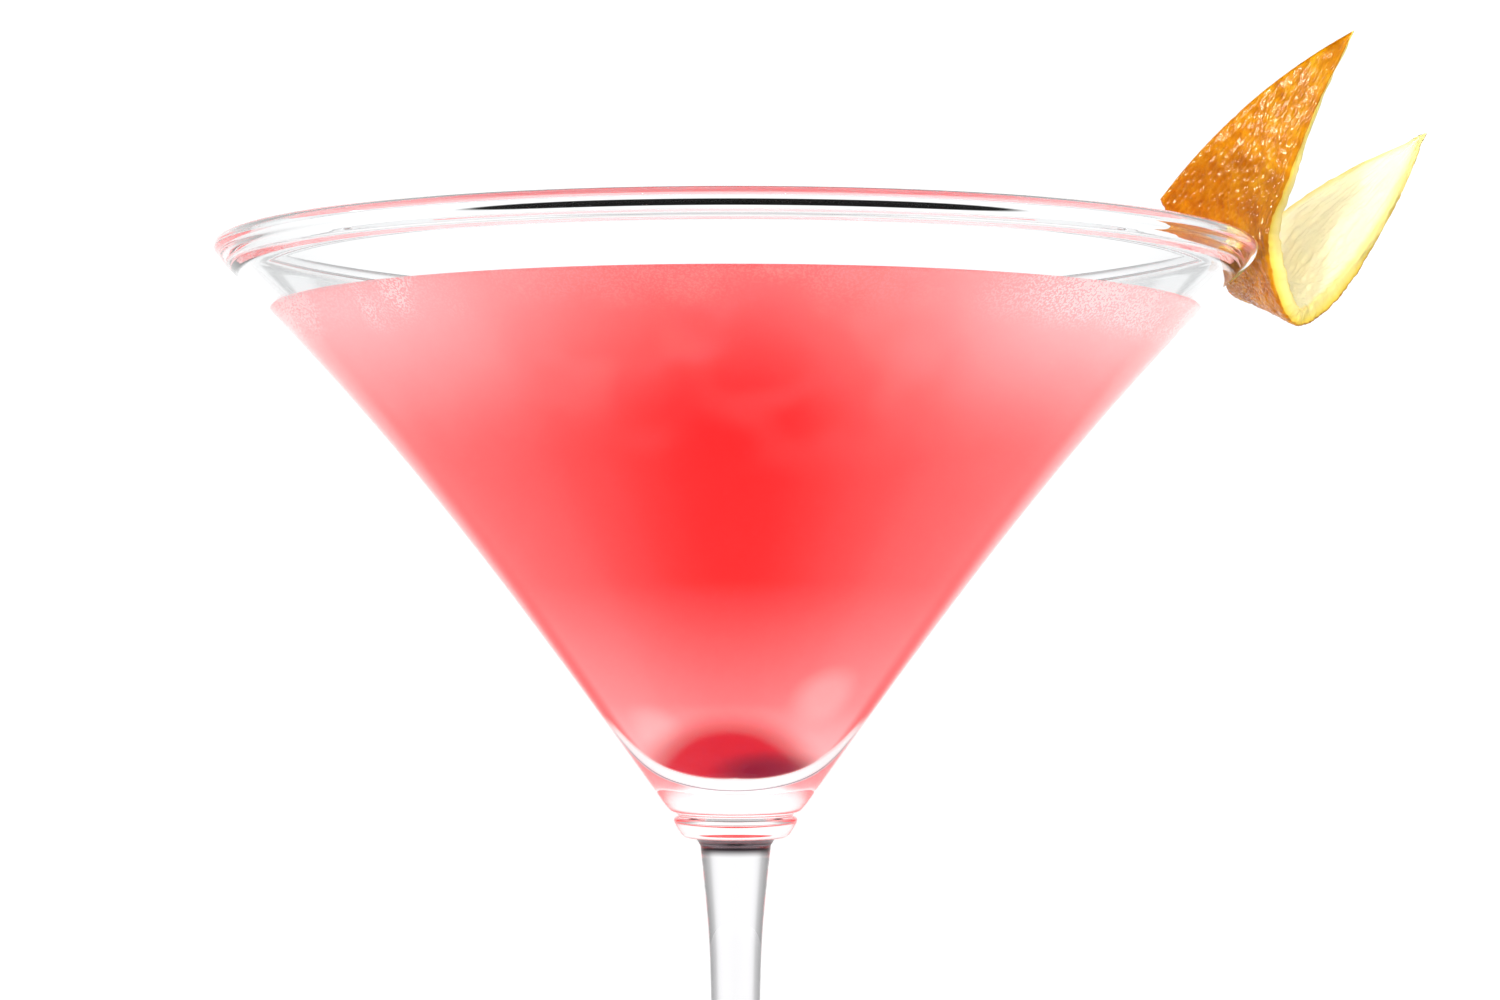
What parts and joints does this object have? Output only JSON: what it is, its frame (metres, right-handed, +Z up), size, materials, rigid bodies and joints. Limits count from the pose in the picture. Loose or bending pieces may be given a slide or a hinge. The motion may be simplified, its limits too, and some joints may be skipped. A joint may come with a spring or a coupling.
{
  "type": "watermelon cosmopolitan cocktail",
  "caption": "Cloudy pink-red watermelon cosmopolitan in a stemmed conical cocktail glass, filled nearly to the rim, with a folded orange peel hooked over the lip.",
  "frame": {"origin": "middle of the foot's flat underside, on the glass's own axis", "axes": "+Z up the stem; +X towards the orange peel on the lip; the shown front faces -Y"},
  "size_m": [0.1365, 0.1164, 0.1979],
  "materials": {
    "clear_glass": "clear, polished",
    "cocktail": "cloudy pink-red liquid",
    "peel": "pebbled orange skin with cream pith inside"
  },
  "bodies": {
    "root": {"glass": "clear_glass", "drink": "cocktail", "orange_peel": "peel"}
  },
  "joints": []
}
